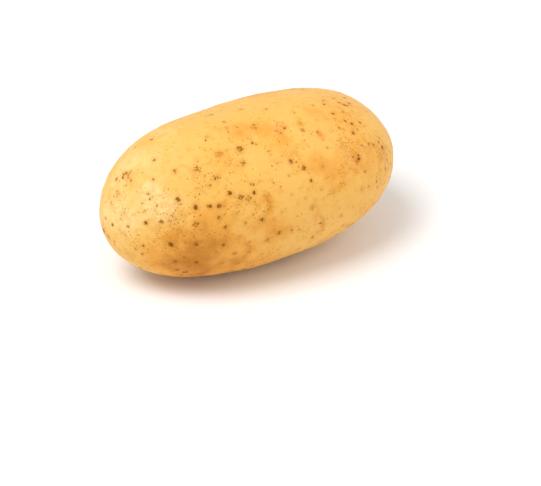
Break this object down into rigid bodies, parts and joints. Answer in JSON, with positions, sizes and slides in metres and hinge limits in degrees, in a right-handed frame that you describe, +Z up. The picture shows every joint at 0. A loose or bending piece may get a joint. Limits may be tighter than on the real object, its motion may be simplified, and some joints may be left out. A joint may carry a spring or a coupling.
{
  "type": "potato",
  "caption": "Whole unpeeled potato, a long oval tuber with blunt ends, shallow eyes and a stem scar, lying on its belly.",
  "frame": {"origin": "on the table, under the middle of the tuber's box", "axes": "+X along the tuber from its rose end to its stem end, +Y across it, +Z up"},
  "size_m": [0.1096, 0.0656, 0.0542],
  "materials": {
    "skin": "satin"
  },
  "bodies": {
    "root": {"tuber": "skin"}
  },
  "joints": []
}
